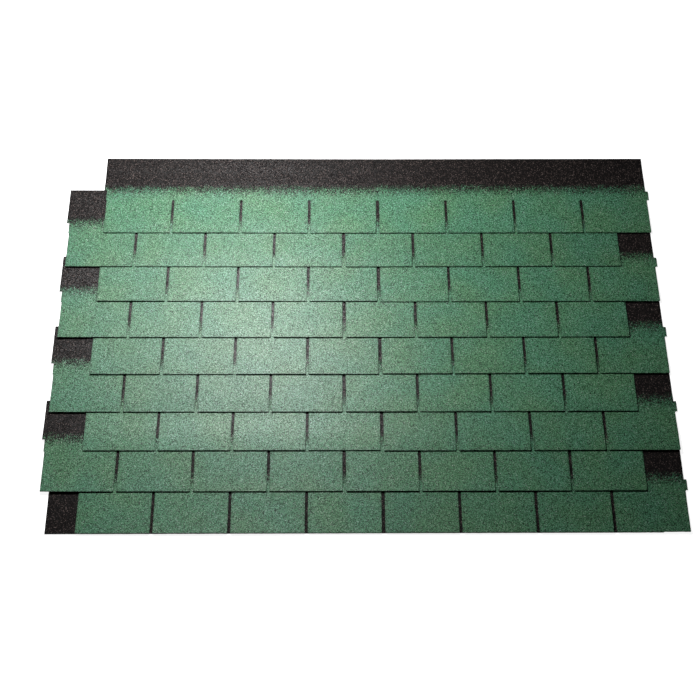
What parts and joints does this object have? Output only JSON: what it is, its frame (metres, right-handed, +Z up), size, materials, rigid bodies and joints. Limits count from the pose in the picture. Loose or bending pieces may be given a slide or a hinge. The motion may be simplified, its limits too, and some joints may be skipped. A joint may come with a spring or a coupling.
{
  "type": "asphalt shingle bundle",
  "caption": "Tabbed asphalt shingle strips of one bundle, laid flat in staggered, overlapping courses over a starter course.",
  "frame": {"origin": "middle of the laid strips' footprint, on the surface they lie on", "axes": "+X along the courses, +Y up the slope from the tab edges to the head edges, +Z up from the surface"},
  "size_m": [2.1363, 1.4781, 0.0118],
  "materials": {
    "green_granules": "matte",
    "dark_granules": "matte"
  },
  "bodies": {
    "root": {"starter_left": "dark_granules", "starter_right": "dark_granules", "course_1_left": "green_granules", "course_1_right": "green_granules", "course_2_left": "green_granules", "course_2_right": "green_granules", "course_3_left": "green_granules", "course_3_right": "green_granules", "course_4_left": "green_granules", "course_4_right": "green_granules", "course_5_left": "green_granules", "course_5_right": "green_granules", "course_6_left": "green_granules", "course_6_right": "green_granules", "course_7_left": "green_granules", "course_7_right": "green_granules", "course_8_left": "green_granules", "course_8_right": "green_granules", "course_9_left": "green_granules", "course_9_right": "green_granules"}
  },
  "joints": []
}
